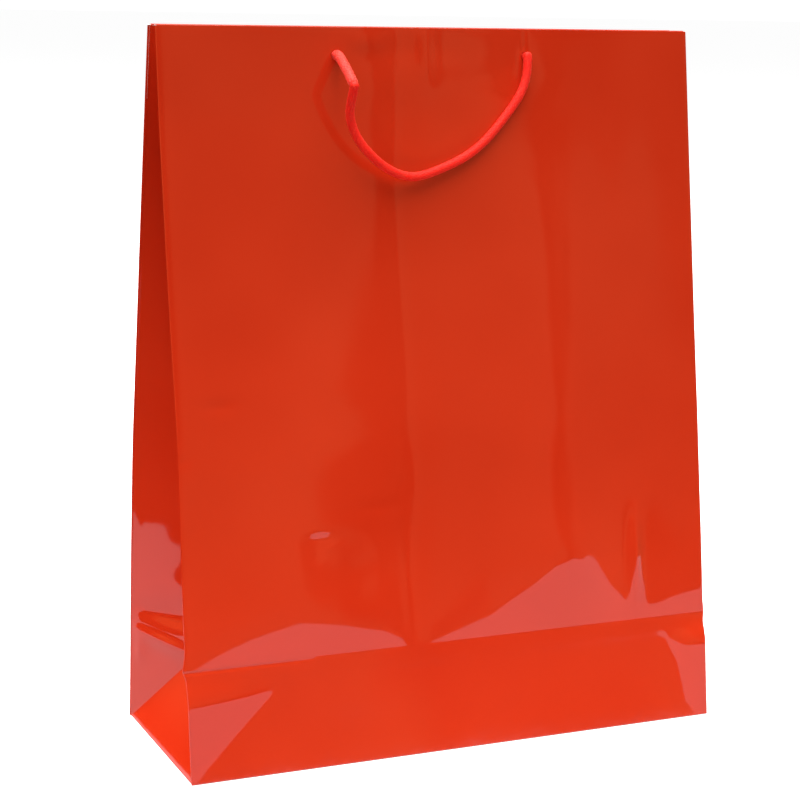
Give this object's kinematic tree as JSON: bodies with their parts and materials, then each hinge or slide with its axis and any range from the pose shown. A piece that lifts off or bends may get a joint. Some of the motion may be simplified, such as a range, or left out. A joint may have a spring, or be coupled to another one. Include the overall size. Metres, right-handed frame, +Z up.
{
  "type": "gift bag",
  "caption": "Laminated paper gift bag with folded gussets, a turned-in mouth, a loose base board and knotted cord handles.",
  "frame": {"origin": "centre of the base, on the surface the bag stands on", "axes": "+X right along the front, +Y to the back, +Z up"},
  "size_m": [0.32, 0.12, 0.3985],
  "materials": {
    "paper": "gloss laminated, saturated red",
    "paper_inside": "uncoated white paper, matt",
    "card": "grey board, matt",
    "board": "white-lined grey board, matt",
    "cord": "braided polyester cord, satin"
  },
  "bodies": {
    "box": {"base_flap_front": "paper", "base_flap_back": "paper", "base_flap_left": "paper_inside", "base_flap_right": "paper_inside", "base_board": "board", "front_panel_lower": "paper", "back_panel_lower": "paper", "gusset_left_triangle": "paper", "gusset_left_lower_front": "paper", "gusset_left_lower_back": "paper", "gusset_right_triangle": "paper", "gusset_right_lower_front": "paper", "gusset_right_lower_back": "paper"},
    "front_wall": {"front_panel": "paper", "front_card": "card", "front_hem": "paper_inside", "front_knot_left": "cord", "front_knot_right": "cord", "front_handle_lead": "cord"},
    "back_wall": {"back_panel": "paper", "back_card": "card", "back_hem": "paper_inside", "side_seam_flap": "paper_inside", "back_knot_left": "cord", "back_knot_right": "cord"},
    "gusset_left_front": {"gusset_left_front": "paper"},
    "gusset_left_back": {"gusset_left_back": "paper"},
    "gusset_right_front": {"gusset_right_front": "paper"},
    "gusset_right_back": {"gusset_right_back": "paper"},
    "front_handle": {"front_handle_cord": "cord"},
    "back_handle": {"back_handle_cord": "cord"}
  },
  "joints": [
    {"name": "mouth_open", "type": "hinge", "parent": "box", "child": "front_wall", "pos_m": [0, -0.051, 0.0605], "axis": [1, 0, 0], "range_deg": [0, 8.4]},
    {"name": "back_wall_open", "type": "hinge", "parent": "box", "child": "back_wall", "pos_m": [0, 0.0565, 0.0605], "axis": [-1, 0, 0], "range_deg": [0, 7.2]},
    {"name": "left_front_unfold", "type": "hinge", "parent": "front_wall", "child": "gusset_left_front", "pos_m": [-0.16, -0.0508, 0.062], "axis": [0, 0.1447, 0.9895], "range_deg": [0, 57]},
    {"name": "right_front_unfold", "type": "hinge", "parent": "front_wall", "child": "gusset_right_front", "pos_m": [0.16, -0.0508, 0.062], "axis": [0, -0.1447, -0.9895], "range_deg": [0, 57]},
    {"name": "left_back_unfold", "type": "hinge", "parent": "back_wall", "child": "gusset_left_back", "pos_m": [-0.16, 0.0564, 0.062], "axis": [0, 0.125, -0.9922], "range_deg": [0, 57]},
    {"name": "right_back_unfold", "type": "hinge", "parent": "back_wall", "child": "gusset_right_back", "pos_m": [0.16, 0.0564, 0.062], "axis": [0, -0.125, 0.9922], "range_deg": [0, 57]},
    {"name": "front_handle_swing", "type": "hinge", "parent": "front_wall", "child": "front_handle", "pos_m": [-0.0612, -0.03491, 0.36809], "axis": [-0.9641, -0.2319, -0.1291], "range_deg": [0, 170]},
    {"name": "back_handle_swing", "type": "hinge", "parent": "back_wall", "child": "back_handle", "pos_m": [-0.0595, 0.01931, 0.38363], "axis": [1, 0, 0], "range_deg": [0, 175]}
  ],
  "couplings": [
    {"joint": "back_wall_open", "follows": "mouth_open", "ratio": 0.85713},
    {"joint": "left_front_unfold", "follows": "mouth_open", "ratio": 6.7856},
    {"joint": "right_front_unfold", "follows": "mouth_open", "ratio": 6.7856},
    {"joint": "left_back_unfold", "follows": "mouth_open", "ratio": 6.7856},
    {"joint": "right_back_unfold", "follows": "mouth_open", "ratio": 6.7856}
  ]
}
